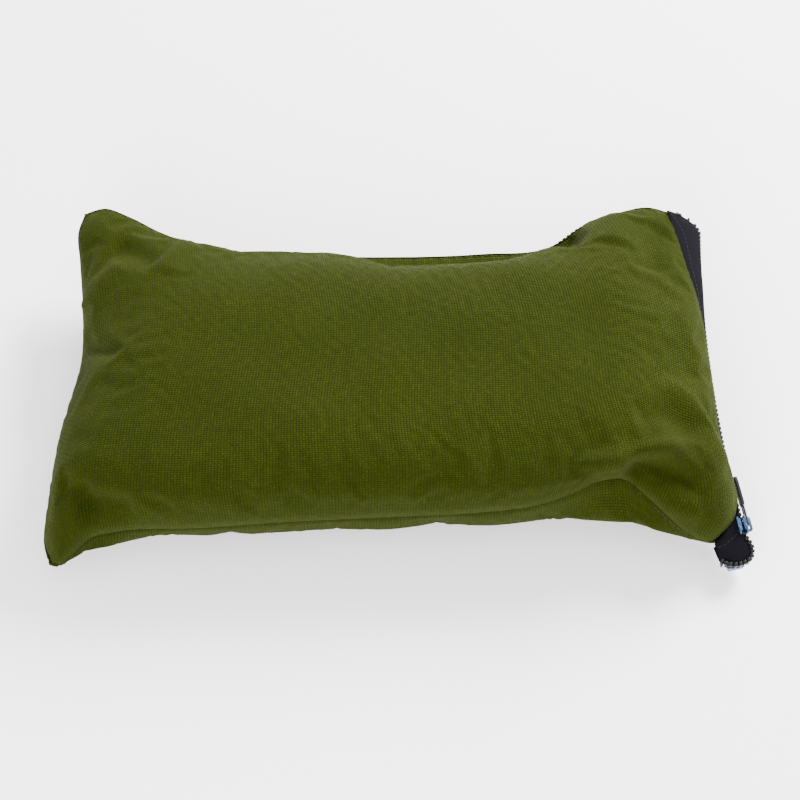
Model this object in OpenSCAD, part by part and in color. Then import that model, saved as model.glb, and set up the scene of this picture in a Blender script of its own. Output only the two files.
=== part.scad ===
// Camp pillow: a zipped canvas cover around a fibre-filled inner cushion.
// The pillow lies flat with its zip at +X. The origin is on the floor, under its centre.

/* [Cushion] */
// Half length of the cover, halfway along its short sides
half_len = 187; // [150:1:220]
// Half width of the cover, halfway along its long sides
half_wid = 99; // [80:1:120]
// Height of the crown above the side seam
crown = 41; // [25:1:50]
// Height of the side seam above the floor, halfway along each side
seam_z = 36; // [28:1:42]
// How far the far left ear reaches out along the length
ear_len_far = 10; // [4:1:16]
// How far the near left ear reaches out along the length
ear_len_near = 20; // [4:1:24]
// How far each ear reaches out across the width
ear_wid = 22; // [8:1:26]
// How far the near ears droop below the side seam
droop_near = 19; // [14:1:22]
// How far the far ears stand up above the side seam
lift_far = 10; // [0:1:14]

/* [Cloth] */
// Thickness of the canvas cover
cover_t = 1.0; // [0.6:0.1:1.4]
// Thickness of the inner cushion's case
case_t = 0.5; // [0.3:0.1:0.8]
// Width of the seam that stands out around the cover
seam_lip = 2.5; // [1:0.5:4]
// Radius of the seam thread
thread_r = 0.4; // [0.2:0.1:0.5]

/* [Zip] */
// How far the middle of the chain lies outside half_len
zip_out = 6; // [3:1:10]
// How far the zip's middle bows in towards the cushion
zip_bow_in = 9; // [6:1:14]
// Half the straight distance between the tapes' ends
zip_half_span = 112; // [100:1:118]
// How much further out the zip's near end stands than its far end, as a turn seen from above
zip_yaw = 2.2; // [0:0.1:3]
// How far short of the tapes' far end the teeth stop
zip_far_tail = 16; // [10:1:24]
// Spacing of the teeth along one row
tooth_pitch = 2.9; // [2.2:0.1:3.5]
// Thickness of the teeth
tooth_t = 2.4; // [2:0.1:3]
// Thickness of the zip tapes
tape_t = 0.7; // [0.4:0.1:0.8]
// Length of the slider along the chain
slider_len = 11; // [9:0.5:13]
// Length of the pull's wire link
link_len = 12; // [10:1:15]
// Length of the pull's grip
grip_len = 17; // [12:1:22]

/* [Hidden] */

FRONT = 1;
BACK = -1;
seam_gap = 0.65; // half the gap between the two cloths of a seam, which its thread fills
edge_power = 4; // how square the cushion's profile is
edge_round = 0.55; // how steeply the profile leaves the seam
zip_blend = 8; // how close to the zip the panels turn to meet it
inset_slack = 0.3; // the inner cushion is looser at its sides than above and below
right_ear = 10; // how far the zip's end of the cover reaches out at its ears
ear_bend = 2.4; // how suddenly the short sides run out into the ears

// The chain's arc: its middle, its radius, and the tilt of the plane that it lies in
zip_mid = [half_len + zip_out, 0, seam_z];
zip_bow_up = (droop_near - lift_far) / 2; // the ends are lower than the middle by this, on average
zip_bow = norm([zip_bow_in, zip_bow_up]);
zip_r = (pow(zip_half_span, 2) + pow(zip_bow, 2)) / (2 * zip_bow);
zip_half_angle = asin(zip_half_span / zip_r);
zip_lean = atan2(zip_bow_up, zip_bow_in); // the arc's axis leans this far from +Z towards +X
zip_roll = 90 - zip_lean; // turns the zip's section so that it stands upright
zip_tilt = atan((droop_near + lift_far) / (2 * zip_half_span)); // the near end is the lower one

// The zip's section: distances from the chain's middle, up the end of the pillow and outwards
slot = 0.6; // from the middle of the chain to the teeth
tooth_w = 2.4;
tape_in = slot + tooth_w;
tape_flat = 5.4;
tape_turn = [7.6, -1.2];
tape_edge = [9.5, -3.6];
panel_edge = [9.9, -4.1];
plate_in = 1.6; // from the tape's middle to the inside of each slider plate
plate_t = 1.1;
plate_top = plate_in + plate_t;
plate_w = 9.6;
flange_w = 0.9;
web_t = 0.7;
bridge_w = 2.4;
bridge_gap = 2.2;
pivot_r = 0.8;
pivot_z = plate_top + 1.15;
stop_len = 3;
slider_rest = 11.5; // from the chain's near end to the middle of the parked slider
stop_inset = 2.2; // from the zip's ends to its stops
teeth_inset = 5; // from the zip's ends to its teeth
tab_w = 9;
tab_gap = 1.6; // from the tape's end to the end tab

// ---- Functions ----

// Height of the profile, 1 in the middle and 0 at the edge
function profile(s) = pow(max(0, 1 - pow(abs(s), edge_power)), edge_round);

// Side seam's height at a place on the pillow, u along the length and v across, both -1 to 1
function seam_height(u, v) =
    let(droop = (droop_near - lift_far) / 2 - v * (droop_near + lift_far) / 2)
    seam_z - droop * pow(abs(u * v), 3);

// A place on a cushion's skin, drawn in by an inset from the cover's
function skin(u, v, side, inset) =
    let(near = v < 0,
        left_ear = near ? ear_len_near : ear_len_far,
        keep = inset > 0 ? 0.5 : 1,
        ear = keep * (u < 0 ? left_ear : right_ear) * pow(abs(v), ear_bend),
        x = u * (half_len - inset + ear),
        y = v * (half_wid - inset + keep * ear_wid * pow(abs(u), 3)),
        level = seam_height(u, v),
        drop = inset_slack * inset,
        rise = (crown - drop) * profile(u) * profile(v) + seam_gap)
    side == FRONT ? [x, y, level + rise] : [x, y, max(cover_t + drop, level - rise)];

// A point of the zip's section, carried along the arc by an angle towards the far end. The arc
// leans, then tilts, then turns about its own middle.
function on_arc(angle, up, out) =
    let(rho = zip_r + up * cos(zip_roll) - out * sin(zip_roll),
        along = up * sin(zip_roll) + out * cos(zip_roll),
        lx = zip_r - rho * cos(angle),
        ly = rho * sin(angle),
        px = lx * cos(zip_lean) + along * sin(zip_lean),
        pz = along * cos(zip_lean) - lx * sin(zip_lean),
        py = ly * cos(zip_tilt) - pz * sin(zip_tilt))
    zip_mid + [px * cos(zip_yaw) - py * sin(zip_yaw), px * sin(zip_yaw) + py * cos(zip_yaw),
        ly * sin(zip_tilt) + pz * cos(zip_tilt)];

// The cover's skin, which turns near the zip to meet the tape's edge
function cover_skin(u, v, side) =
    let(plain = skin(u, v, side, 0),
        end = skin(1, v, side, 0),
        meet = on_arc(v * zip_half_angle, side * panel_edge[0], panel_edge[1]),
        pull = pow((1 + u) / 2, zip_blend),
        at = plain + pull * (meet - end))
    side == FRONT ? at : [at[0], at[1], max(cover_t, at[2])];

// Angle at the arc's centre of a length of chain
function chain_angle(length) = length / zip_r * 180 / PI;

// Where the slider is parked, measured from the arc's middle
slider_angle = zip_half_angle - chain_angle(slider_rest);

function spaced(i, n) = sin(90 * (2 * i / n - 1));
function clamp(i, n) = min(max(i, 0), n);

// The cover's grid: its seam lip is one more row on the left, near and far edges
function cover_grid(side, nu, nv) = [for (i = [-1:nu]) [for (j = [-1:nv + 1])
    let(ci = clamp(i, nu),
        cj = clamp(j, nv),
        at = cover_skin(spaced(ci, nu), spaced(cj, nv), side),
        seam = seam_height(spaced(ci, nu), spaced(cj, nv)) + side * seam_gap,
        low = ci == nu ? on_arc(sign(cj - 1) * zip_half_angle, side * seam_gap, panel_edge[1])[2] : seam,
        lip = (i != ci || j != cj))
    lip ? [at[0] + (i - ci) * seam_lip, at[1] + (j - cj) * seam_lip, low] : at]];

function plain_grid(side, nu, nv, inset) = [for (i = [0:nu]) [for (j = [0:nv])
    skin(spaced(i, nu), spaced(j, nv), side, inset)]];

// The same grid moved out along its normals
function thicken(grid, side, t) =
    let(nu = len(grid) - 1,
        nv = len(grid[0]) - 1)
    [for (i = [0:nu]) [for (j = [0:nv])
        let(du = grid[min(i + 1, nu)][j] - grid[max(i - 1, 0)][j],
            dv = grid[i][min(j + 1, nv)] - grid[i][max(j - 1, 0)],
            n = cross(du, dv))
        grid[i][j] + side * t * n / norm(n)]];

function flat(rows) = [for (row = rows) each row];

// ---- Shared modules ----

// A closed shell between two grids of the same size; the first is the lower one
module shell(low, high) {
    nu = len(low) - 1;
    nv = len(low[0]) - 1;
    w = nv + 1;
    top = (nu + 1) * w;
    sheet = [for (i = [0:nu - 1]) for (j = [0:nv - 1]) each [
        [i * w + j, (i + 1) * w + j, (i + 1) * w + j + 1],
        [i * w + j, (i + 1) * w + j + 1, i * w + j + 1]]];
    under = sheet;
    over = [for (f = sheet) [f[0] + top, f[2] + top, f[1] + top]];
    along_u = [for (i = [0:nu - 1]) each [
        [i * w, i * w + top, (i + 1) * w + top], [i * w, (i + 1) * w + top, (i + 1) * w],
        [i * w + nv, (i + 1) * w + nv + top, i * w + nv + top],
        [i * w + nv, (i + 1) * w + nv, (i + 1) * w + nv + top]]];
    last = nu * w;
    along_v = [for (j = [0:nv - 1]) each [
        [j, j + 1 + top, j + top], [j, j + 1, j + 1 + top],
        [last + j, last + j + top, last + j + 1 + top],
        [last + j, last + j + 1 + top, last + j + 1]]];
    polyhedron(points = concat(flat(low), flat(high)), faces = concat(under, over, along_u, along_v));
}

// A thread laid along a list of points
module thread(path, r, sides = 6) {
    n = len(path) - 1;
    rings = [for (i = [0:n])
        let(t = path[min(i + 1, n)] - path[max(i - 1, 0)],
            side = cross(t, [0, 0, 1]),
            a = side / norm(side),
            b = cross(a, t) / norm(cross(a, t)))
        each [for (k = [0:sides - 1]) path[i] + r * (cos(360 * k / sides) * a + sin(360 * k / sides) * b)]];
    walls = [for (i = [0:n - 1]) for (k = [0:sides - 1])
        let(next = (k + 1) % sides,
            a = i * sides)
        each [[a + k, a + next, a + sides + next], [a + k, a + sides + next, a + sides + k]]];
    first = [for (k = [sides - 1:-1:0]) k];
    final = [for (k = [0:sides - 1]) n * sides + k];
    polyhedron(points = rings, faces = concat([first], walls, [final]));
}

// Places something that was made around the arc's centre, with the arc in the X-Y plane
module on_zip_plane() {
    translate(zip_mid) rotate([0, 0, zip_yaw]) rotate([zip_tilt, 0, 0]) rotate([0, zip_lean, 0])
        translate([zip_r, 0, 0]) children();
}

// Places something in the chain's own frame: X up the end, Y towards the near end, Z outwards
module on_chain(angle) {
    on_zip_plane() rotate([0, 0, 180 + angle]) translate([zip_r, 0, 0])
        rotate([0, -zip_roll, 0]) children();
}

// Sweeps a section along the chain between two angles, measured from the middle to the near end
module along_chain(from, to) {
    on_zip_plane() rotate([0, 0, 180 + from]) rotate_extrude(angle = to - from, $fn = 200)
        translate([zip_r, 0]) rotate(zip_roll) children();
}

// ---- Cover ----

module cover_front_panel() {
    grid = cover_grid(FRONT, 28, 18);
    color("olivedrab") shell(grid, thicken(grid, FRONT, cover_t));
}

module cover_back_panel() {
    grid = cover_grid(BACK, 28, 18);
    color("olivedrab") shell(thicken(grid, BACK, cover_t), grid);
}

module cover_seam_stitching() {
    steps = 24;
    stop_u = 0.9;
    near = [for (i = [steps:-1:0]) [stop_u * (2 * i / steps - 1) - (1 - i / steps) * (1 - stop_u), -1]];
    left = [for (j = [1:steps - 1]) [-1, 2 * j / steps - 1]];
    far = [for (i = [0:steps]) [stop_u * (2 * i / steps - 1) - (1 - i / steps) * (1 - stop_u), 1]];
    route = [for (p = concat(near, left, far))
        let(at = (cover_skin(p[0], p[1], FRONT) + cover_skin(p[0], p[1], BACK)) / 2,
            out = seam_lip / 2)
        [at[0] - (p[0] < -0.99 ? out : 0), at[1] + (abs(p[1]) > 0.99 ? sign(p[1]) * out : 0),
            seam_height(p[0], p[1])]];
    color("darkolivegreen") thread(route, thread_r);
}

// ---- Zip ----

module tape_section(side) {
    h = tape_t / 2;
    outline = [[tape_in, -h], [tape_flat, -h], [tape_turn[0] - h, tape_turn[1] - h],
        [tape_edge[0] - h, tape_edge[1] - h], [tape_edge[0] + h, tape_edge[1]],
        [tape_turn[0] + h, tape_turn[1] + h], [tape_flat, h], [tape_in, h]];
    polygon([for (p = outline) [side * p[0], p[1]]]);
}

module zip_tape(side) {
    along_chain(-zip_half_angle, zip_half_angle) tape_section(side);
}

module zip_tape_front() {
    color("black") zip_tape(FRONT);
}

module zip_tape_back() {
    color("black") zip_tape(BACK);
}

module teeth_row(side) {
    tooth_angle = chain_angle(tooth_pitch);
    near = zip_half_angle - chain_angle(teeth_inset);
    far = -near + chain_angle(zip_far_tail);
    count = floor((near - far) / tooth_angle);
    tooth_len = 0.6 * tooth_pitch;
    for (k = [0:count - 1])
        on_chain(near - tooth_angle * (k + (side == FRONT ? 0.25 : 0.75)))
            translate([side > 0 ? slot : -slot - tooth_w, -tooth_len / 2, -tooth_t / 2])
                cube([tooth_w, tooth_len, tooth_t]);
}

module zip_teeth_front() {
    color("dimgray") teeth_row(FRONT);
}

module zip_teeth_back() {
    color("dimgray") teeth_row(BACK);
}

module topstitch(side) {
    row = [6.7, 0.02]; // just clear of the tape, which slopes there
    reach = zip_half_angle - chain_angle(teeth_inset);
    along_chain(-reach, reach)
        translate([side * row[0], row[1]]) circle(r = thread_r / 2, $fn = 16);
}

module zip_topstitch_front() {
    color("darkolivegreen") topstitch(FRONT);
}

module zip_topstitch_back() {
    color("darkolivegreen") topstitch(BACK);
}

module chain_stop() {
    translate([-tape_in + 0.05, -stop_len / 2, -tooth_t / 2 - 0.3])
        cube([2 * tape_in - 0.1, 1.2, tooth_t + 0.6]);
}

module zip_near_stop() {
    color("black") on_chain(zip_half_angle - chain_angle(stop_inset)) chain_stop();
}

module zip_far_stop() {
    color("black") on_chain(chain_angle(stop_inset + zip_far_tail) - zip_half_angle)
        mirror([0, 1, 0]) chain_stop();
}

// A short loop of webbing, folded flat and sewn in behind the near end of the chain
module zip_end_tab() {
    fold_r = 1.6;
    reach = 9;
    color("royalblue") on_chain(zip_half_angle) translate([-tab_w - 2.5, tab_gap, -13])
        linear_extrude(tab_w) {
            difference() {
                union() {
                    square([2 * fold_r, reach]);
                    translate([fold_r, reach]) circle(r = fold_r, $fn = 32);
                }
                translate([fold_r - 0.5, -1]) square([1, reach + 1]);
            }
        }
}

// Dense stitching that closes the tapes' ends
module corner_bartacks() {
    color("black") for (end = [-1, 1]) for (side = [-1, 1])
        on_chain(end * (zip_half_angle + chain_angle(0.8))) translate([side * 5.2, 0, -0.2])
            cube([4, 1.2, 1.4], center = true);
}

// ---- Inner cushion ----

case_inset = 5;
fill_inset = 7.2;

module inner_case_front() {
    grid = plain_grid(FRONT, 22, 14, case_inset);
    color("whitesmoke") shell(grid, thicken(grid, FRONT, case_t));
}

module inner_case_back() {
    grid = plain_grid(BACK, 22, 14, case_inset);
    color("whitesmoke") shell(thicken(grid, BACK, case_t), grid);
}

module inner_case_stitching() {
    steps = 16;
    ring = concat(
        [for (i = [steps:-1:1]) [2 * i / steps - 1, -1]],
        [for (j = [0:steps - 1]) [-1, 2 * j / steps - 1]],
        [for (i = [0:steps - 1]) [2 * i / steps - 1, 1]],
        [for (j = [steps:-1:1]) [1, 2 * j / steps - 1]]);
    route = [for (p = ring)
        let(at = skin(p[0], p[1], FRONT, case_inset))
        [at[0], at[1], seam_height(p[0], p[1])]];
    color("white") thread(route, thread_r);
}

module fibre_fill() {
    low = plain_grid(BACK, 22, 14, fill_inset);
    high = plain_grid(FRONT, 22, 14, fill_inset);
    color("ivory") shell(low, high);
}

// ---- Slider and pull ----

module plate_outline() {
    half_w = plate_w / 2;
    half_l = slider_len / 2;
    polygon([[-half_w + 1.2, -half_l], [half_w - 1.2, -half_l], [half_w - 0.4, -half_l + 1],
        [half_w - 0.4, 0], [half_w, 2], [half_w, half_l - 1.5], [half_w - 1.5, half_l],
        [-half_w + 1.5, half_l], [-half_w, half_l - 1.5], [-half_w, 2],
        [-half_w + 0.4, 0], [-half_w + 0.4, -half_l + 1]]);
}

module slider_bridge() {
    foot = 1.4;
    half = slider_len / 2 - 1;
    under = plate_top + bridge_gap;
    rise = under + 1.1;
    rotate([90, 0, 90]) linear_extrude(bridge_w, center = true)
        polygon([[-half, plate_top - 0.1], [-half, under], [-half + foot, rise], [half - foot, rise],
            [half, under], [half, plate_top - 0.1], [half - foot, plate_top - 0.1],
            [half - foot, under], [-half + foot, under], [-half + foot, plate_top - 0.1]]);
}

module zip_slider() {
    lip_gap = 0.75;
    color("royalblue") on_chain(slider_angle) {
        translate([0, 0, plate_in]) linear_extrude(plate_t) plate_outline();
        translate([0, 0, -plate_top]) linear_extrude(plate_t) plate_outline();
        translate([-web_t / 2, 0.5, -plate_in - 0.1])
            cube([web_t, slider_len / 2 - 1.5, 2 * plate_in + 0.2]);
        for (side = [-1, 1]) for (face = [0, 1])
            mirror([0, 0, face]) translate([side * (plate_w / 2 - 0.9), 0, (lip_gap + plate_in) / 2 + 0.05])
                cube([flange_w, slider_len - 4, plate_in - lip_gap + 0.1], center = true);
        slider_bridge();
    }
}

// A wire loop whose axle runs under the slider's bridge
module zip_pull_link() {
    arm = bridge_w / 2 + 0.6;
    wire = 1.2;
    color("silver") on_chain(slider_angle) translate([0, 0, pivot_z]) {
        rotate([0, 90, 0]) cylinder(r = pivot_r, h = 2 * (arm + wire / 2), center = true, $fn = 32);
        for (side = [-1, 1])
            translate([side * (arm + wire / 2) - wire / 2, -link_len, -wire / 2])
                cube([wire, link_len, wire]);
        translate([-arm - wire, -link_len - wire, -wire / 2])
            cube([2 * (arm + wire), wire + 0.01, wire]);
    }
}

// A moulded grip around the end of the link
module zip_pull_tab() {
    grip_w = 7.5;
    grip_t = 1.9;
    grip_start = link_len + 1.25;
    color("black") on_chain(slider_angle) translate([0, -grip_start, pivot_z - grip_t / 2])
        linear_extrude(grip_t) {
            translate([-grip_w / 2, -grip_len + 3]) square([grip_w, grip_len - 3]);
            translate([0, -grip_len + 3]) circle(r = grip_w / 2, $fn = 48);
        }
}

cover_front_panel();
cover_back_panel();
cover_seam_stitching();
zip_tape_front();
zip_tape_back();
zip_teeth_front();
zip_teeth_back();
zip_topstitch_front();
zip_topstitch_back();
zip_near_stop();
zip_far_stop();
zip_end_tab();
corner_bartacks();
inner_case_front();
inner_case_back();
inner_case_stitching();
fibre_fill();
zip_slider();
zip_pull_link();
zip_pull_tab();
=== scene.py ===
"""Camp pillow: the looks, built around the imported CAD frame. Lengths in the tables are millimetres."""

import math

import bmesh
import bpy
import numpy as np
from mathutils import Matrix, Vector
from mathutils.kdtree import KDTree


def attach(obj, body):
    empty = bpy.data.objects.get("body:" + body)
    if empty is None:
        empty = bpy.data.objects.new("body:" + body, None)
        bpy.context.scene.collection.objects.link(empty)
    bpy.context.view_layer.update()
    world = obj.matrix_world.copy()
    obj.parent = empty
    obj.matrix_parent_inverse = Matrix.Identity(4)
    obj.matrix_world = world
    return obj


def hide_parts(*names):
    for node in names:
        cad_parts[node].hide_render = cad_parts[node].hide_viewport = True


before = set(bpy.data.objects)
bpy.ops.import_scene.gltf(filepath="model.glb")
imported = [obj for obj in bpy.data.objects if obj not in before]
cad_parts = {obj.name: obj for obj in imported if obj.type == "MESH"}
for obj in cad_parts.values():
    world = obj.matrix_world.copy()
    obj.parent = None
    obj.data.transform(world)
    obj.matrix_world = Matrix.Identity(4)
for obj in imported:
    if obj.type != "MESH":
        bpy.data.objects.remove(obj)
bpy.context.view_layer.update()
MM = 0.001


# ---------------------------------------------------------------- driving values

# Outline of the cover's side seam, seen from above: x, y and height, from left to right or near to far
NEAR_SEAM = [(-205, -106, 14), (-199, -108, 17), (-190, -103, 22), (-180, -97, 28), (-165, -95, 31),
             (-120, -96, 34), (-66, -95, 36), (0, -94, 36), (50, -94, 38), (83, -93, 43), (105, -89, 50),
             (119, -85, 55), (133, -83, 52), (147, -90, 42), (160, -99, 32), (172, -106, 24),
             (184, -109, 20), (194, -102, 20)]
FAR_SEAM = [(-188, 121, 49), (-176, 124, 50), (-160, 119, 47), (-142, 110, 43), (-118, 102, 38),
            (-60, 96, 33), (0, 94, 30), (60, 94, 30), (104, 96, 33), (126, 106, 42),
            (146, 111, 46), (168, 112, 49), (178.5, 108, 49)]
LEFT_SEAM = [(-205, -106, 14), (-209, -94, 17), (-207, -72, 24), (-202, -42, 31), (-195, -10, 35),
             (-189, 18, 36), (-189, 60, 37), (-191, 90, 42), (-192, 108, 47), (-188, 121, 49)]
# Where the front panel and the back panel end at the zip, from near to far
FRONT_ZIP_EDGE = [(194, -102, 20), (199, -97, 22), (202, -88, 26), (200.5, -77, 32), (197, -64, 38),
                  (194, -48, 42), (193, -20, 44), (192, 20, 45), (189, 50, 47), (184.5, 72, 48),
                  (181.5, 90, 49), (180, 101, 49.5), (178.5, 108, 49)]
BACK_ZIP_EDGE = [(194, -102, 10), (199, -97, 9), (201, -88, 10), (199, -77, 14), (196, -64, 20),
                 (192, -48, 25), (190, -20, 28), (189, 20, 29), (187.5, 50, 32), (185.5, 72, 35),
                 (183.5, 90, 39), (181.5, 101, 43), (178.5, 108, 47)]
CROWN_HEIGHT = 77.5  # top of the pillow above the floor
EDGE_POWER = 4.0  # how square the cushion's profile is
EDGE_ROUND = 0.52  # how steeply the profile leaves the seam
FAR_POWER = 2.8  # the same two on the far side
FAR_ROUND = 0.8
BELLY_AT = 0.045  # how far in from the seam the back panel is widest, as a share of the width
GRID_U = 260
GRID_V = 150
CLOTH_THICK = 0.9

# How the cover's cloth settles: grid, frames, spare cloth, inner pressure, hold on the sculpted shape
CLOTH_U = 130
CLOTH_V = 76
CLOTH_FRAMES = 12
CLOTH_SPARE = 0.012
CLOTH_PRESSURE = 0.4
CLOTH_HOLD = 0.1
CLOTH_MOST = 2.5

# The zip's arc, as in the CAD model
HALF_LEN = 187
ZIP_MID = np.array([HALF_LEN + 6.0, 0, 36])
ZIP_BOW_IN = 9.0
DROOP_NEAR = 19.0
LIFT_FAR = 10.0
ZIP_HALF_SPAN = 112.0
ZIP_YAW = math.radians(2.2)
SLIDER_REST = 11.5
PIVOT_OUT = 3.85
TOOTH_PITCH = 2.9
# How much of the arc's ends the chain leaves to curl round the corners, clear of the slider's travel
NEAR_CURL_LEN = 6.0
FAR_CURL_LEN = 19.0

# The weave: distance between neighbouring warp threads and neighbouring weft threads
WARP_PITCH = 1.67 * MM
WEFT_PITCH = 1.27 * MM

# Studio light: the world's strength and the two lamps' watts
WORLD_LIGHT = 2.1
KEY_POWER = 225
FILL_POWER = 75


# ---------------------------------------------------------------- curves and surfaces

def smooth_path(points, t):
    """Points on a smooth curve through given points, at shares t of its length."""
    p = np.array(points, float)
    chord = np.concatenate([[0], np.cumsum(np.linalg.norm(np.diff(p, axis=0), axis=1))])
    chord /= chord[-1]
    slope = np.gradient(p, chord, axis=0)
    t = np.clip(np.asarray(t, float), 0, 1)
    k = np.clip(np.searchsorted(chord, t, side="right") - 1, 0, len(p) - 2)
    span = (chord[k + 1] - chord[k])[..., None]
    x = ((t - chord[k]) / (chord[k + 1] - chord[k]))[..., None]
    return ((2 * x**3 - 3 * x**2 + 1) * p[k] + (x**3 - 2 * x**2 + x) * span * slope[k]
            + (3 * x**2 - 2 * x**3) * p[k + 1] + (x**3 - x**2) * span * slope[k + 1])


def patch(near, far, left, right, u, v):
    """A surface spanned by four edge curves (a Coons patch), on a grid of shares u and v."""
    n, f = smooth_path(near, u)[:, None], smooth_path(far, u)[:, None]
    l, r = smooth_path(left, v)[None], smooth_path(right, v)[None]
    uu, vv = u[:, None, None], v[None, :, None]
    corners = ((1 - uu) * (1 - vv) * np.array(near[0]) + uu * (1 - vv) * np.array(near[-1])
               + (1 - uu) * vv * np.array(far[0]) + uu * vv * np.array(far[-1]))
    return (1 - vv) * n + vv * f + (1 - uu) * l + uu * r - corners


def spacing(count):
    """Shares from 0 to 1, closer together near the two ends."""
    t = np.linspace(-1, 1, count + 1)
    return 0.5 + 0.5 * (0.55 * t + 0.45 * np.sin(t * math.pi / 2))


def profile(share):
    """Height of the cushion's section: 0 at the seams and 1 in the middle."""
    s = np.abs(2 * share - 1)
    return np.maximum(0, 1 - s**EDGE_POWER) ** EDGE_ROUND


def section(share):
    """The profile from the near seam to the far one, where the top slopes away sooner."""
    s = np.maximum(0, 2 * share - 1)
    far = np.maximum(0, 1 - s**FAR_POWER) ** FAR_ROUND
    return np.where(share > 0.5, far, profile(share))


def normals(grid):
    du = np.gradient(grid, axis=0)
    dv = np.gradient(grid, axis=1)
    n = np.cross(du, dv)
    return n / np.maximum(np.linalg.norm(n, axis=2, keepdims=True), 1e-9)


def soft_max(a, b, width):
    """The larger of two heights, with the corner between them rounded."""
    return 0.5 * (a + b + np.sqrt((a - b) ** 2 + width**2)) - 0.5 * width * np.exp(-np.abs(a - b) / width)


class Noise:
    """Smooth seeded noise made of a few sine waves in random directions."""

    def __init__(self, seed, wavelength, waves=14):
        rng = np.random.default_rng(seed)
        turn = rng.uniform(0, 2 * math.pi, waves)
        size = 2 * math.pi / (wavelength * rng.uniform(0.7, 1.6, waves))
        self.k = np.stack([np.cos(turn) * size, np.sin(turn) * size])
        self.phase = rng.uniform(0, 2 * math.pi, waves)
        self.scale = math.sqrt(2 / waves)

    def __call__(self, x, y):
        return self.scale * sum(np.sin(a * x + b * y + p) for a, b, p in zip(*self.k, self.phase))


def stroke(x, y, points, width, height, sharp=1.0, ends=0.2):
    """A fold along a line in the plan. On the line's left it is width wide, on its right width * sharp."""
    line = smooth_path([(a, b, 0) for a, b in points], np.linspace(0, 1, 60))[:, :2]
    best = np.full(x.shape, 1e9)
    side = np.zeros(x.shape)
    along = np.zeros(x.shape)
    for i in range(len(line) - 1):
        a, d = line[i], line[i + 1] - line[i]
        t = np.clip(((x - a[0]) * d[0] + (y - a[1]) * d[1]) / (d @ d), 0, 1)
        ex, ey = x - a[0] - t * d[0], y - a[1] - t * d[1]
        dist = np.hypot(ex, ey)
        closer = dist < best
        best = np.where(closer, dist, best)
        side = np.where(closer, np.sign(d[0] * ey - d[1] * ex), side)
        along = np.where(closer, (i + t) / (len(line) - 1), along)
    reach = np.where(side >= 0, width, width * sharp)
    fade = np.clip(along / ends, 0, 1) * np.clip((1 - along) / ends, 0, 1)
    fade = fade * fade * (3 - 2 * fade)
    return height * fade * np.exp(-(best / reach) ** 2)


# ---------------------------------------------------------------- mesh helpers

def new_mesh(name, points, faces, smooth=True):
    mesh = bpy.data.meshes.new(name)
    mesh.from_pydata([tuple(p) for p in np.asarray(points, float) * MM], [], faces)
    mesh.validate()
    obj = bpy.data.objects.new(name, mesh)
    bpy.context.scene.collection.objects.link(obj)
    mesh.polygons.foreach_set("use_smooth", [smooth] * len(mesh.polygons))
    return obj


def grid_faces(nu, nv, flip=False):
    quads = []
    for i in range(nu):
        for j in range(nv):
            a = i * (nv + 1) + j
            q = (a, a + nv + 1, a + nv + 2, a + 1)
            quads.append(q[::-1] if flip else q)
    return quads


def grid_piece(name, grid, cloth_u, cloth_v, flip=False, thick=CLOTH_THICK):
    """A sheet of cloth from a grid of points, with flat cloth coordinates in metres as its UVs."""
    nu, nv = grid.shape[0] - 1, grid.shape[1] - 1
    obj = new_mesh(name, grid.reshape(-1, 3), grid_faces(nu, nv, flip))
    uv = np.stack(np.broadcast_arrays(cloth_u, cloth_v), axis=-1).reshape(-1, 2) * MM
    corner = np.zeros(len(obj.data.loops), np.int32)
    obj.data.loops.foreach_get("vertex_index", corner)
    layer = obj.data.uv_layers.new(name="cloth")
    layer.data.foreach_set("uv", uv[corner].ravel())
    if thick:
        solid = obj.modifiers.new("thickness", "SOLIDIFY")
        solid.thickness = thick * MM
        solid.offset = -1
        apply_modifiers(obj)
    return obj


def apply_modifiers(obj):
    graph = bpy.context.evaluated_depsgraph_get()
    mesh = bpy.data.meshes.new_from_object(obj.evaluated_get(graph))
    obj.modifiers.clear()
    obj.data = mesh
    mesh.polygons.foreach_set("use_smooth", [True] * len(mesh.polygons))


def joined(name, parts):
    """One object from several meshes given as (points, faces)."""
    points, faces = [], []
    for p, f in parts:
        start = len(points)
        points.extend(p)
        faces.extend([tuple(i + start for i in face) for face in f])
    return new_mesh(name, points, faces)


def template(make, bevel=0.0, segments=2):
    """Points and faces of a small bevelled solid made by a bmesh function."""
    bm = bmesh.new()
    make(bm)
    if bevel:
        bmesh.ops.bevel(bm, geom=bm.edges[:], offset=bevel, segments=segments, profile=0.6,
                        affect="EDGES", clamp_overlap=True)
    points = np.array([v.co for v in bm.verts])
    faces = [tuple(v.index for v in f.verts) for f in bm.faces]
    bm.free()
    return points, faces


def block(size, centre=(0, 0, 0)):
    def make(bm):
        bmesh.ops.create_cube(bm, size=1)
        bmesh.ops.scale(bm, vec=Vector(size), verts=bm.verts)
        bmesh.ops.translate(bm, vec=Vector(centre), verts=bm.verts)
    return make


def prism(outline, low, high):
    def make(bm):
        bottom = [bm.verts.new((x, y, low)) for x, y in outline]
        top = [bm.verts.new((x, y, high)) for x, y in outline]
        bm.faces.new(bottom[::-1])
        bm.faces.new(top)
        for i in range(len(outline)):
            k = (i + 1) % len(outline)
            bm.faces.new((bottom[i], bottom[k], top[k], top[i]))
    return make


# ---------------------------------------------------------------- materials

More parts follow.
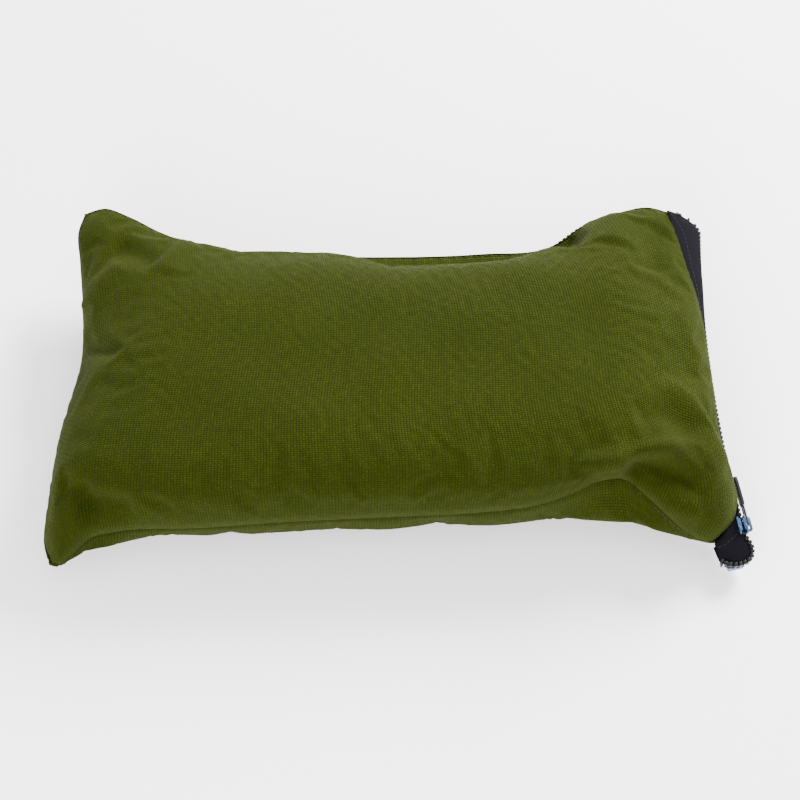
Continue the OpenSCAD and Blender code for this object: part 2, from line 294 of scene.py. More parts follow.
class Shader:
    """A small helper that adds nodes to a material and links them."""

    def __init__(self, name):
        self.material = bpy.data.materials.new(name)
        self.material.use_nodes = True
        self.tree = self.material.node_tree
        self.surface = self.tree.nodes["Principled BSDF"]

    def node(self, kind, **inputs):
        n = self.tree.nodes.new(kind)
        for key, value in inputs.items():
            if hasattr(n, key) and key not in n.inputs:
                setattr(n, key, value)
            else:
                self.put(n.inputs[key], value)
        return n

    def put(self, socket, value):
        if isinstance(value, bpy.types.NodeSocket):
            self.tree.links.new(value, socket)
        else:
            socket.default_value = value

    def math(self, operation, a, b=None, c=None):
        n = self.tree.nodes.new("ShaderNodeMath")
        n.operation = operation
        for socket, value in zip(n.inputs, (a, b, c)):
            if value is not None:
                self.put(socket, value)
        return n.outputs[0]

    def mix(self, factor, a, b):
        n = self.tree.nodes.new("ShaderNodeMix")
        n.data_type = "RGBA"
        self.put(n.inputs[0], factor)
        self.put(n.inputs[6], a)
        self.put(n.inputs[7], b)
        return n.outputs[2]

    def mix_value(self, factor, a, b):
        n = self.tree.nodes.new("ShaderNodeMix")
        n.data_type = "FLOAT"
        self.put(n.inputs[0], factor)
        self.put(n.inputs[2], a)
        self.put(n.inputs[3], b)
        return n.outputs[0]

    def vector(self, x, y, z=0.0):
        n = self.tree.nodes.new("ShaderNodeCombineXYZ")
        for socket, value in zip(n.inputs, (x, y, z)):
            self.put(socket, value)
        return n.outputs[0]

    def noise(self, vector, scale, detail=2.0, roughness=0.5):
        n = self.tree.nodes.new("ShaderNodeTexNoise")
        self.put(n.inputs["Vector"], vector)
        n.inputs["Scale"].default_value = scale
        n.inputs["Detail"].default_value = detail
        n.inputs["Roughness"].default_value = roughness
        return n.outputs["Fac"]

    def ramp(self, factor, low, high, to_low=0.0, to_high=1.0):
        n = self.tree.nodes.new("ShaderNodeMapRange")
        self.put(n.inputs["Value"], factor)
        n.inputs["From Min"].default_value = low
        n.inputs["From Max"].default_value = high
        n.inputs["To Min"].default_value = to_low
        n.inputs["To Max"].default_value = to_high
        return n.outputs["Result"]

    def shade(self, colour, value):
        """A colour made lighter or darker by a value."""
        n = self.tree.nodes.new("ShaderNodeVectorMath")
        n.operation = "SCALE"
        self.put(n.inputs[0], colour if isinstance(colour, bpy.types.NodeSocket) else colour[:3])
        self.put(n.inputs["Scale"], value)
        return n.outputs[0]

    def bump(self, height, distance, strength=1.0):
        n = self.tree.nodes.new("ShaderNodeBump")
        self.put(n.inputs["Height"], height)
        n.inputs["Distance"].default_value = distance
        n.inputs["Strength"].default_value = strength
        self.put(self.surface.inputs["Normal"], n.outputs[0])

    def set(self, **values):
        for key, value in values.items():
            self.put(self.surface.inputs[key.replace("_", " ")], value)


def plain_weave(sh, warp_pitch, weft_pitch, wander=0.0002):
    """Thread numbers, heights and colour variation of a plain weave, in flat cloth coordinates."""
    uv = sh.node("ShaderNodeUVMap", uv_map="cloth").outputs[0]
    split = sh.node("ShaderNodeSeparateXYZ")
    sh.put(split.inputs[0], uv)
    drift = sh.noise(uv, 90.0, 1.0)
    drift2 = sh.noise(uv, 70.0, 1.0)
    across = sh.math("MULTIPLY_ADD", drift, wander, split.outputs[0])
    along = sh.math("MULTIPLY_ADD", drift2, wander, split.outputs[1])
    s = sh.math("DIVIDE", across, warp_pitch)
    t = sh.math("DIVIDE", along, weft_pitch)
    warp_no, weft_no = sh.math("FLOOR", s), sh.math("FLOOR", t)
    warp = sh.math("SINE", sh.math("MULTIPLY", sh.math("FRACT", s), math.pi))
    weft = sh.math("SINE", sh.math("MULTIPLY", sh.math("FRACT", t), math.pi))
    over = sh.math("PINGPONG", sh.math("ADD", warp_no, weft_no), 1.0)
    warp_top = sh.math("MULTIPLY", sh.math("POWER", warp, 0.7), sh.ramp(weft, 0, 1, 0.5, 1.0))
    weft_top = sh.math("MULTIPLY", sh.math("POWER", weft, 0.7), sh.ramp(warp, 0, 1, 0.45, 0.9))
    height = sh.mix_value(over, warp_top, weft_top)
    slub_warp = sh.noise(sh.vector(sh.math("MULTIPLY", warp_no, 7.3), sh.math("MULTIPLY", along, 160.0)),
                         1.0, 2.0)
    slub_weft = sh.noise(sh.vector(sh.math("MULTIPLY", across, 160.0), sh.math("MULTIPLY", weft_no, 5.7)),
                         1.0, 2.0)
    yarn = sh.mix_value(over, slub_warp, slub_weft)
    return uv, height, yarn


def canvas_material():
    """Coarse olive plain-weave canvas with slubs, a soft bloom and slight fading, with painted shade in the
    gaps between threads and painted highlight on their crowns.
    """
    sh = Shader("olive_canvas")
    uv, height, yarn = plain_weave(sh, WARP_PITCH, WEFT_PITCH)
    fade = sh.noise(uv, 9.0, 3.0)
    olive = (0.0131, 0.0182, 0.0003, 1)
    light = (0.0163, 0.0219, 0.0005, 1)
    tone = sh.mix(sh.ramp(yarn, 0.52, 0.8), olive, light)
    # painted shade and highlight: the colour is halved in the gaps between threads and lifted on their crowns
    # by the weave's height; the yarn and fade factors are random tone
    value = sh.math("MULTIPLY", sh.ramp(height, 0.1, 1, 0.5, 1.2), sh.ramp(yarn, 0.3, 0.7, 0.84, 1.14))
    value = sh.math("MULTIPLY", value, sh.ramp(fade, 0.3, 0.7, 0.94, 1.06))
    sh.set(Base_Color=sh.shade(tone, value), Roughness=0.9, Specular_IOR_Level=0.04,
           Sheen_Weight=0.06, Sheen_Roughness=0.45, Sheen_Tint=(0.6, 0.68, 0.2, 1))
    sh.bump(height, 0.0005, 0.9)
    return sh.material


def tape_material():
    """Black woven zip tape: a fine twill with a faint sheen, with painted shade in the twill's grooves and
    painted highlight on its ribs.
    """
    sh = Shader("zip_tape_black")
    uv = sh.node("ShaderNodeUVMap", uv_map="cloth").outputs[0]
    split = sh.node("ShaderNodeSeparateXYZ")
    sh.put(split.inputs[0], uv)
    diagonal = sh.math("ADD", sh.math("DIVIDE", split.outputs[0], 0.0009),
                       sh.math("DIVIDE", split.outputs[1], 0.0007))
    rib = sh.math("SINE", sh.math("MULTIPLY", sh.math("FRACT", diagonal), math.pi))
    grain = sh.noise(uv, 900.0, 2.0)
    height = sh.math("MULTIPLY", rib, sh.ramp(grain, 0.2, 0.8, 0.7, 1.0))
    black = (0.0026, 0.0024, 0.0038, 1)
    # painted shade and highlight: the black is darkened in the grooves and lightened on the ribs by the
    # twill's height; the grain in that height is random tone
    sh.set(Base_Color=sh.shade(black, sh.ramp(height, 0, 1, 0.7, 1.35)), Roughness=0.8,
           Specular_IOR_Level=0.04)
    sh.bump(height, 0.00015, 0.7)
    return sh.material


def webbing_material():
    """Blue ribbed webbing, with painted shade between its threads and painted highlight on their crowns."""
    sh = Shader("webbing_blue")
    _, height, _ = plain_weave(sh, 0.0011, 0.0008, 0.0001)
    # painted shade and highlight: the blue is darkened between threads and lightened on their crowns by the
    # weave's height
    sh.set(Base_Color=sh.shade((0.13, 0.18, 0.42), sh.ramp(height, 0, 1, 0.6, 1.15)), Roughness=0.7,
           Specular_IOR_Level=0.3, Sheen_Weight=0.15)
    sh.bump(height, 0.0002, 0.8)
    return sh.material


def case_material():
    """Fine white cotton for the inner case, with faint painted shade between its threads."""
    sh = Shader("case_white")
    _, height, _ = plain_weave(sh, 0.0006, 0.0006, 0.0001)
    # painted shade: the white is darkened between threads by the weave's height
    sh.set(Base_Color=sh.shade((0.8, 0.8, 0.78), sh.ramp(height, 0, 1, 0.85, 1.02)), Roughness=0.85,
           Specular_IOR_Level=0.2)
    sh.bump(height, 0.0001, 0.6)
    return sh.material


def speckled_material(name, colour, roughness, metallic=0.0, coat=0.0, grain=700.0, bump=0.00004,
                      spread=0.15):
    """A plain moulded, wire or thread material with fine grain and slight colour variation."""
    sh = Shader(name)
    where = sh.node("ShaderNodeTexCoord").outputs["Object"]
    fine = sh.noise(where, grain, 3.0)
    broad = sh.noise(where, grain / 12, 2.0)
    value = sh.math("MULTIPLY", sh.ramp(fine, 0.3, 0.7, 1 - spread, 1 + spread),
                    sh.ramp(broad, 0.3, 0.7, 0.92, 1.08))
    sh.set(Base_Color=sh.shade((*colour, 1), value), Metallic=metallic, Coat_Weight=coat,
           Specular_IOR_Level=0.5 if coat or metallic else 0.2,
           Roughness=sh.ramp(fine, 0.3, 0.7, roughness - 0.05, roughness + 0.08))
    sh.bump(fine, bump, 0.6)
    return sh.material


# ---------------------------------------------------------------- the zip's arc

def turn_x(a):
    return np.array([[1, 0, 0], [0, math.cos(a), -math.sin(a)], [0, math.sin(a), math.cos(a)]])


def turn_y(a):
    return np.array([[math.cos(a), 0, math.sin(a)], [0, 1, 0], [-math.sin(a), 0, math.cos(a)]])


def turn_z(a):
    return np.array([[math.cos(a), -math.sin(a), 0], [math.sin(a), math.cos(a), 0], [0, 0, 1]])


BOW_UP = (DROOP_NEAR - LIFT_FAR) / 2
BOW = math.hypot(ZIP_BOW_IN, BOW_UP)
ZIP_R = (ZIP_HALF_SPAN**2 + BOW**2) / (2 * BOW)
HALF_ANGLE = math.asin(ZIP_HALF_SPAN / ZIP_R)
ZIP_LEAN = math.atan2(BOW_UP, ZIP_BOW_IN)
ZIP_ROLL = math.pi / 2 - ZIP_LEAN
ZIP_TILT = math.atan((DROOP_NEAR + LIFT_FAR) / (2 * ZIP_HALF_SPAN))
ZIP_FRAME = turn_z(ZIP_YAW) @ turn_x(ZIP_TILT) @ turn_y(ZIP_LEAN)


def chain_frame(angle):
    """Origin and axes (up the end, towards the near end, outwards) at an angle from the arc's middle."""
    spin = ZIP_FRAME @ turn_z(math.pi + angle)
    origin = ZIP_MID + ZIP_FRAME @ np.array([ZIP_R, 0, 0]) + spin @ np.array([ZIP_R, 0, 0])
    return origin, spin @ turn_y(-ZIP_ROLL)


def chain_path(count=420):
    """The chain's centre line from the curl at the near corner to the curl at the far one, with its
    width direction and its outward direction at each point."""
    near_end = HALF_ANGLE - NEAR_CURL_LEN / ZIP_R
    far_end = HALF_ANGLE - FAR_CURL_LEN / ZIP_R
    arc = [chain_frame(a) for a in np.linspace(near_end, -far_end, 60)]
    near_curl = [(190, -118.5, 11), (196, -121, 11.5), (203, -120.5, 12), (208.5, -117, 13.3),
                 (209, -111.5, 15)]
    far_curl = [(193.6, 98.2, 45.8), (188.6, 103.4, 46.8), (183.3, 106.8, 48), (178.3, 108.3, 48.6)]
    centre = np.array(near_curl + [o for o, _ in arc] + far_curl)
    last, tip = arc[-1][1][:, 0], np.array((-0.3, -0.2, 0.93))
    turn = [last + (tip - last) * (k + 1) / len(far_curl) for k in range(len(far_curl))]
    up = [(0.05, -0.15, 0.98)] * len(near_curl) + [b[:, 0] for _, b in arc] + turn
    t = np.linspace(0, 1, count)
    line = smooth_path(centre, t)
    chord = np.concatenate([[0], np.cumsum(np.linalg.norm(np.diff(centre, axis=0), axis=1))])
    up = np.stack([np.interp(t, chord / chord[-1], np.array(up)[:, k]) for k in range(3)], axis=1)
    tangent = np.gradient(line, axis=0)
    tangent /= np.linalg.norm(tangent, axis=1, keepdims=True)
    out = np.cross(tangent, up)
    out /= np.linalg.norm(out, axis=1, keepdims=True)
    up = np.cross(out, tangent)
    return line, up, out


CHAIN, CHAIN_UP, CHAIN_OUT = chain_path()
CHAIN_AT = np.concatenate([[0], np.cumsum(np.linalg.norm(np.diff(CHAIN, axis=0), axis=1))])


def on_chain(distance):
    """Centre, width direction, outward direction and tangent of the chain at a distance along it."""
    def at(values):
        return np.stack([np.interp(distance, CHAIN_AT, values[:, k]) for k in range(3)], axis=-1)
    up, out = at(CHAIN_UP), at(CHAIN_OUT)
    return at(CHAIN), up, out, np.cross(up, out)


# ---------------------------------------------------------------- the cover

def folds(x, y, side):
    """Height of the folds and dents in the cloth, by place in the plan."""
    h = np.zeros(x.shape)
    if side > 0:
        # the ridge that leaves the near seam where it is pulled up, and the hollow below it
        h += stroke(x, y, [(100, -82), (118, -79), (136, -75), (157, -70), (176, -67)], 4.5, 6.5, 1.3, 0.3)
        h += stroke(x, y, [(128, -78), (146, -81), (164, -86), (184, -92)], 7.0, -9.0, 1.0, 0.25)
        h += stroke(x, y, [(152, -98), (164, -99), (180, -101)], 4, 2.5)
        h += stroke(x, y, [(158, -20), (172, -36), (184, -53), (198, -78)], 5, 2.6, 1.6)
        h += stroke(x, y, [(138, -56), (160, -50), (180, -62)], 9, -3.6)
        h += stroke(x, y, [(40, -78), (90, -72), (126, -60)], 14, -2.6)
        # folds round the other ears
        h += stroke(x, y, [(-190, -84), (-174, -87), (-150, -90)], 6, -3.0)
        h += stroke(x, y, [(-184, -72), (-181, -84), (-174, -94)], 5, -4.5, 1.3, 0.3)
        h += stroke(x, y, [(-196, -60), (-180, -64), (-150, -72)], 9, 1.6)
        h += stroke(x, y, [(-188, 34), (-178, 18), (-160, 4)], 6, -2.4)
        h += stroke(x, y, [(-186, 48), (-176, 62), (-160, 76)], 8, 2.2)
        h += stroke(x, y, [(-172, 94), (-156, 84), (-138, 72)], 10, -4.6)
        h += stroke(x, y, [(-120, 96), (-128, 84), (-136, 60)], 9, 1.8)
        h += stroke(x, y, [(176, 94), (166, 76), (160, 50)], 8, -3.2)
        h += stroke(x, y, [(150, 108), (144, 92), (138, 74)], 8, 2.6)
        h += stroke(x, y, [(108, 104), (114, 92), (110, 76)], 8, -6.0)
        h += stroke(x, y, [(-40, 92), (20, 86), (70, 88), (112, 92)], 18, -8.5, 1.0, 0.3)
    h += 0.6 * Noise(5 + side, 60)(x, y)
    return h


def cover_grid(side, u, v, details=True):
    """Points of the front (side 1) or back (side -1) panel's outer face, at shares u and v."""
    right = FRONT_ZIP_EDGE if side > 0 else BACK_ZIP_EDGE
    near = NEAR_SEAM[:-1] + [right[0]]
    far = FAR_SEAM[:-1] + [right[-1]]
    grid = patch(near, far, LEFT_SEAM, right, u, v)
    shape = profile(u)[:, None] * section(v)[None]
    if side > 0:
        grid[..., 2] += (CROWN_HEIGHT - grid[..., 2]) * shape
    else:
        fall = grid[..., 2] - (grid[..., 2] + 3.0) * shape
        grid[..., 2] = soft_max(fall, 0.0 * fall, 5.0)
    # the sides stand out a little beyond the seam
    away_v = np.sin(np.pi * np.clip(1.6 * np.abs(2 * v - 1) - 0.6, 0, 1)) * np.sign(2 * v - 1)
    away_u = np.sin(np.pi * np.clip(1.6 * np.abs(2 * u - 1) - 0.6, 0, 1)) * np.sign(2 * u - 1)
    stand = 1.5 if side > 0 else 4.0
    if side < 0:
        # beside the near ears the back panel bellies out below the seam
        x = grid[..., 0]
        pulled = 17 * np.exp(-((x - 137) / 33) ** 2) + 9 * np.exp(-((x + 180) / 24) ** 2)
        grid[..., 1] -= pulled * (v / BELLY_AT * np.exp(1 - v / BELLY_AT))[None]
    middle_u = (1 - np.abs(2 * u - 1) ** 5)[:, None]
    middle_v = (1 - np.abs(2 * v - 1) ** 5)[None]
    grid[..., 1] += stand * away_v[None] * middle_u
    grid[..., 0] += stand * away_u[:, None] * middle_v
    if details:
        edge = np.minimum(1, 4 * profile(u)[:, None] * profile(v)[None])
        lift = folds(grid[..., 0], grid[..., 1], side) * edge
        flat = np.clip(grid[..., 2] / 6, 0, 1) if side < 0 else 1
        grid = grid + side * normals(grid) * (lift * flat)[..., None]
    return grid


def cloth_lengths(grid):
    """Flat cloth coordinates, in mm, from the lengths of the panel's two middle lines."""
    mid_v = grid[:, grid.shape[1] // 2]
    mid_u = grid[grid.shape[0] // 2]
    a = np.concatenate([[0], np.cumsum(np.linalg.norm(np.diff(mid_v, axis=0), axis=1))])
    b = np.concatenate([[0], np.cumsum(np.linalg.norm(np.diff(mid_u, axis=0), axis=1))])
    return (a - a[-1] / 2)[:, None], (b - b[-1] / 2)[None]


def seam_detail(grid, side, cloth_u, cloth_v):
    """The pinched seam round three sides: a stitched groove with a small puckered ridge outside it."""
    edges = [cloth_v - cloth_v.min() + 0 * cloth_u, cloth_v.max() - cloth_v + 0 * cloth_u,
             cloth_u - cloth_u.min() + 0 * cloth_v]
    runs = [cloth_u + 0 * cloth_v, cloth_u + 0 * cloth_v, cloth_v + 0 * cloth_u]
    total = np.zeros(grid.shape[:2])
    for k, (d, run) in enumerate(zip(edges, runs)):
        pucker = 0.6 + 0.4 * np.sin(run * 2 * math.pi / 7.5 + 2 * np.sin(run / 23 + k))
        groove = -0.9 * np.exp(-((d - 4.2) / 1.8) ** 2) * pucker
        wave = np.sin(run * 2 * math.pi / 13 + 3 * np.sin(run / 31 + k))
        gathers = 0.12 * wave * np.exp(-((d - 9) / 8) ** 2)
        total = total + groove + gathers
    return grid + side * normals(grid) * total[..., None]


def closed_cover(front, back):
    """One mesh of both panels, joined along the three seamed sides."""
    nu, nv = front.shape[0] - 1, front.shape[1] - 1
    count = (nu + 1) * (nv + 1)
    index = np.arange(count).reshape(nu + 1, nv + 1)
    other = index + count
    other[0], other[:, 0], other[:, -1] = index[0], index[:, 0], index[:, -1]
    faces = grid_faces(nu, nv)
    flat = other.reshape(-1)
    faces += [tuple(int(flat[i]) for i in f) for f in grid_faces(nu, nv, True)]
    points = np.concatenate([front.reshape(-1, 3), back.reshape(-1, 3)])
    return new_mesh("settling_cover", points, faces)


def settle(front, back):
    """Moves of the two panels as their cloth, cut a little too large, wrinkles and settles."""
    cloth = closed_cover(front, back)
    count = front.shape[0] * front.shape[1]
    start = np.concatenate([front.reshape(-1, 3), back.reshape(-1, 3)])
    hold = cloth.vertex_groups.new(name="hold")
    nu, nv = front.shape[0], front.shape[1]
    share_u = np.minimum(np.arange(nu), nu - 1 - np.arange(nu))[:, None] / 3
    share_v = np.minimum(np.arange(nv), nv - 1 - np.arange(nv))[None] / 3
    rim = np.clip(np.minimum(share_u, share_v), 0, 1)
    middle = profile(spacing(nu - 1))[:, None] ** 4 * profile(spacing(nv - 1))[None] ** 4
    rim = (rim * (1 - 0.45 * middle)).reshape(-1)
    for side in (0, 1):
        for i in range(count):
            hold.add([i + side * count], float(1 - (1 - CLOTH_HOLD) * rim[i]), "REPLACE")
    sim = cloth.modifiers.new("cloth", "CLOTH").settings
    sim.quality = 6
    sim.mass = 0.25
    sim.tension_stiffness = sim.compression_stiffness = 12
    sim.shear_stiffness = 6
    sim.bending_stiffness = 4.0
    sim.shrink_min = -CLOTH_SPARE
    sim.vertex_group_mass = "hold"
    sim.pin_stiffness = 0.6
    sim.effector_weights.gravity = 0
    sim.use_pressure = True
    sim.uniform_pressure_force = CLOTH_PRESSURE
    for number in range(1, CLOTH_FRAMES + 1):
        bpy.context.scene.frame_set(number)
    graph = bpy.context.evaluated_depsgraph_get()
    mesh = cloth.evaluated_get(graph).data
    end = np.zeros(len(mesh.vertices) * 3)
    mesh.vertices.foreach_get("co", end)
    move = (end.reshape(-1, 3) / MM - start)
    bpy.data.objects.remove(cloth)
    bpy.context.scene.frame_set(1)
    shape = front.shape
    front_move, back_move = move[:count].reshape(shape).copy(), move[count:].reshape(shape).copy()
    for m in (front_move, back_move):
        size = np.linalg.norm(m, axis=2, keepdims=True)
        m *= np.minimum(1, CLOTH_MOST / np.maximum(size, 1e-6))
        m[0] = m[-1] = 0
        m[:, 0] = m[:, -1] = 0
    return front_move, back_move


def spread(move, count_u, count_v):
    """A field of moves on a coarse grid, smoothly interpolated to a finer one."""
    def along(values, count):
        n = values.shape[0] - 1
        t = np.linspace(0, n, count + 1)
        k = np.clip(t.astype(int), 0, n - 1)
        x = (t - k).reshape((-1,) + (1,) * (values.ndim - 1))
        at = lambda i: values[np.clip(i, 0, n)]
        a, b, c, d = at(k - 1), at(k), at(k + 1), at(k + 2)
        return 0.5 * (2 * b + (c - a) * x + (2 * a - 5 * b + 4 * c - d) * x**2
                      + (3 * b - a - 3 * c + d) * x**3)
    wide = along(move, count_u)
    return np.swapaxes(along(np.swapaxes(wide, 0, 1), count_v), 0, 1)


def make_cover():
    """The two panels, and their skins as grids of points."""
    pieces, skins = [], {}
    moves = (0.0, 0.0)
    coarse = [cover_grid(side, spacing(CLOTH_U), spacing(CLOTH_V)) for side in (1, -1)]
    moves = [spread(m, GRID_U, GRID_V) for m in settle(*coarse)]
    for side, name, move in ((1, "cover_front_canvas", moves[0]), (-1, "cover_back_canvas", moves[1])):
        grid = cover_grid(side, spacing(GRID_U), spacing(GRID_V)) + move
        cloth_u, cloth_v = cloth_lengths(grid)
        grid = seam_detail(grid, side, cloth_u, cloth_v)
        if side < 0:
            grid[..., 2] = np.maximum(grid[..., 2], 0.0)
        pieces.append(grid_piece(name, grid, cloth_u, cloth_v, flip=side < 0))
        skins[side] = grid
    return pieces, skins


# ---------------------------------------------------------------- the zip

def tape_grid(side, rows=12, count=320):
    """A woven tape, from under the panel's edge to the chain."""
    edge = FRONT_ZIP_EDGE if side > 0 else BACK_ZIP_EDGE
    low = 17 if side > 0 else 12
    start = [(187, -109, low), (191, -105.5, low + 1.5 * side)]
    panel = smooth_path(start + edge, np.linspace(0, 1, count))
    total = CHAIN_AT[-1]
    share = np.linspace(0, 1, count)
    reach = np.interp(share, [0, 0.1, 0.2, 1], [0, 33 / total, 0.24, 1]) * total
    centre, up, out, _ = on_chain(reach)
    close = np.interp(share, [0, 0.04, 0.94, 1], [0.4, 1.6, 1.6, 0.4])[:, None]
    inner = centre + side * up * close
    bulge = np.interp(share, [0, 0.2, 0.3, 0.6, 0.75, 0.85, 0.93, 1], [0, 0, 0.5, 1.0, 3.0, 3.6, 2.6, 0.5])
    tucked = np.interp(share, [0, 0.12, 0.2], [0, 0.3, 1])[:, None]
    panel = panel + tucked * np.array([-2.2, 0, 2.2 * side])
    grid = np.zeros((count, rows + 1, 3))
    for r in range(rows + 1):
        w = r / rows
        grid[:, r] = (1 - w) * panel + w * inner
        grid[:, r] += 4 * w * (1 - w) * side * up * 1.3 + 6.75 * w * w * (1 - w) * bulge[:, None] * out
    return grid, reach


def make_tape(side, name):
    grid, reach = tape_grid(side)
    width = np.linspace(0, 14, grid.shape[1])[None]
    return grid_piece(name, grid, reach[:, None], width, flip=side > 0, thick=0.55)


def make_teeth(side, name):
    """A row of moulded teeth: each has a body that grips the tape and a head that meets the other row."""
    body = template(block((2.1, 1.9, 2.5), (1.9, 0, 0)), 0.35)
    head = template(block((2.6, 1.25, 1.9), (0.1, 0, 0)), 0.4)
    parts = []
    first = 3.0
    last = CHAIN_AT[-1] - 16.0
    count = int((last - first) / TOOTH_PITCH)
    for k in range(count):
        reach = first + TOOTH_PITCH * (k + (0.25 if side > 0 else 0.75))
        centre, up, out, tangent = on_chain(reach)
        basis = np.stack([side * up, side * tangent, out], axis=0)
        for points, faces in (body, head):
            parts.append((points @ basis + centre, faces))
    return joined(name, parts)


def stitches(name, points, length, gap, radius, wobble=0.15, seed=1):
    """A row of separate stitches along a curve of close points; each dips into the cloth at its ends."""
    p = np.array(points, float)
    at = np.concatenate([[0], np.cumsum(np.linalg.norm(np.diff(p, axis=0), axis=1))])
    rng = np.random.default_rng(seed)
    parts = []
    sides = 6
    start = 1.0
    while start + length < at[-1] - 1:
        t = start + length * np.linspace(0, 1, 5)
        c = np.stack([np.interp(t, at, p[:, k]) for k in range(3)], axis=1)
        d = c[-1] - c[0]
        d /= np.linalg.norm(d)
        side = np.cross(d, (0.1, 0.2, 0.97))
        side /= np.linalg.norm(side)
        other = np.cross(side, d)
        c = c + side * rng.uniform(-wobble, wobble)
        turn = np.arange(sides) * 2 * math.pi / sides
        grow = np.array([0.45, 0.95, 1.0, 0.95, 0.45])[:, None, None] * radius
        rings = c[:, None] + grow * (np.cos(turn)[None, :, None] * side + np.sin(turn)[None, :, None] * other)
        faces = [(i * sides + k, i * sides + (k + 1) % sides, (i + 1) * sides + (k + 1) % sides,
                  (i + 1) * sides + k) for i in range(4) for k in range(sides)]
        faces += [tuple(range(sides))[::-1], tuple(4 * sides + k for k in range(sides))]
        parts.append((rings.reshape(-1, 3), faces))
        start += length + gap
    return joined(name, parts)


def tape_line(side, share_across):
    """A line along a tape, at a share of the way from the panel's edge to the chain, on its outer face."""
    grid, _ = tape_grid(side)
    place = share_across * (grid.shape[1] - 1)
    low = int(place)
    line = grid[:, low] * (1 - place + low) + grid[:, low + 1] * (place - low)
    return line


def make_stops():
    made = []
    for name, reach in (("zip_near_stop_block", 1.2), ("zip_far_stop_block", CHAIN_AT[-1] - 13.0)):
        points, faces = template(block((6.0, 1.6, 3.0)), 0.4)
        centre, up, out, tangent = on_chain(reach)
        made.append(new_mesh(name, points @ np.stack([up, tangent, out]) + centre, faces))
    return made


def make_bartacks():
    """Short dense zigzags that close the tapes' ends."""
    parts = []
    for reach in (4.5, CHAIN_AT[-1] - 6.0):
        centre, up, out, tangent = on_chain(reach)
        for side in (1, -1):
            for k in range(9):
                points, faces = template(block((2.4, 0.45, 0.5)), 0.15, 1)
                turn = turn_z(0.12 * (-1) ** k)
                points = points @ turn.T + np.array([side * 3.4, (k - 4) * 0.42, 0.0])
                parts.append((points @ np.stack([up, tangent, out]) + centre, faces))
    return joined("corner_bartack_threads", parts)


def make_end_tab():
    """A loop of webbing, folded flat, that is sewn in behind the near end of the chain."""
    width = 9.0
    bend, reach = 1.1, 9.0
    arc = np.linspace(-math.pi / 2, math.pi / 2, 16)
    lower = [(x, -bend) for x in np.linspace(-2, reach - bend, 22)]
    fold = [(reach - bend + bend * math.cos(a), bend * math.sin(a)) for a in arc]
    upper = [(x, bend) for x in np.linspace(reach - bend, -2, 22)]
    section_line = np.array(lower + fold + upper)
    origin, basis = chain_frame(HALF_ANGLE)
    across = np.linspace(0, width, 13)
    grid = np.zeros((len(section_line), len(across), 3))
    for i, (out, thick) in enumerate(section_line):
        for j, w in enumerate(across):
            grid[i, j] = origin + basis @ np.array([-9.9 + thick, 1.6 + out, -13 + w])
    at = np.concatenate([[0], np.cumsum(np.linalg.norm(np.diff(section_line, axis=0), axis=1))])
    return grid_piece("zip_end_tab_webbing", grid, at[:, None], across[None], thick=0.9)


# ---------------------------------------------------------------- the slider and its pull

SLIDER_AT = HALF_ANGLE - SLIDER_REST / ZIP_R
PLATE = [(-3.6, -5.5), (3.6, -5.5), (4.4, -4.5), (4.4, 0), (4.8, 2), (4.8, 4), (3.3, 5.5), (-3.3, 5.5),
         (-4.8, 4), (-4.8, 2), (-4.4, 0), (-4.4, -4.5)]


def on_slider(name, parts):
    origin, basis = chain_frame(SLIDER_AT)
    return joined(name, [(np.asarray(p) @ basis.T + origin, f) for p, f in parts])


def make_slider():
    """A lacquered cast slider: two plates, the web between them, side lips and the bridge."""
    parts = [template(prism(PLATE, 1.6, 2.7), 0.3, 3), template(prism(PLATE, -2.7, -1.6), 0.3, 3)]
    parts.append(template(block((0.7, 4.2, 3.4), (0, 2.5, 0)), 0.15))
    for side in (1, -1):
        for face in (1, -1):
            parts.append(template(block((0.9, 7.0, 1.0), (side * 3.9, 0, face * 1.2)), 0.2))
    foot, half, low = 1.4, 4.5, 2.6
    under, rise = 4.9, 6.0
    bridge = [(-half, low), (-half, under), (-half + 0.5, rise - 0.35), (-half + foot, rise),
              (half - foot, rise), (half - 0.5, rise - 0.35), (half, under), (half, low),
              (half - foot, low), (half - foot, under), (-half + foot, under), (-half + foot, low)]
    points, faces = template(prism(bridge, -1.2, 1.2), 0.2, 2)
    parts.append((points[:, [2, 0, 1]], faces))
    rail = [(-3.0, -4.6), (-1.9, -4.6), (-1.9, 4.4), (-3.0, 4.4)]
    for flip in (1, -1):
        points, faces = template(prism([(flip * x, y) for x, y in rail][::flip], 2.65, 2.95), 0.12, 1)
        parts.append((points, faces))
    return on_slider("zip_slider_cast", parts)


def wire_loop(path, radius, sides=12):
    p = np.array(path, float)
    t = np.roll(p, -1, axis=0) - np.roll(p, 1, axis=0)
    t /= np.linalg.norm(t, axis=1, keepdims=True)
    up = np.array([0, 0, 1.0])
    side = np.cross(t, up)
    turn = np.arange(sides) * 2 * math.pi / sides
    rings = p[:, None] + radius * (np.cos(turn)[None, :, None] * side[:, None]
                                   + np.sin(turn)[None, :, None] * up)
    n = len(p)
    faces = [(i * sides + k, i * sides + (k + 1) % sides, (i + 1) % n * sides + (k + 1) % sides,
              (i + 1) % n * sides + k) for i in range(n) for k in range(sides)]
    return rings.reshape(-1, 3), faces


def rounded_rectangle(low, high, radius, steps=8):
    points = []
    corners = [(high[0] - radius, high[1] - radius, 0), (low[0] + radius, high[1] - radius, 90),
               (low[0] + radius, low[1] + radius, 180), (high[0] - radius, low[1] + radius, 270)]
    for cx, cy, start in corners:
        for k in range(steps + 1):
            a = math.radians(start + 90 * k / steps)
            points.append((cx + radius * math.cos(a), cy + radius * math.sin(a)))
    return points


def make_link():
    """A loop of round wire whose axle runs under the slider's bridge."""
    loop = [(x, y, PIVOT_OUT) for x, y in rounded_rectangle((-2.4, -12.6), (2.4, 0.6), 1.2)]
    return on_slider("zip_pull_wire", [wire_loop(loop, 0.6)])


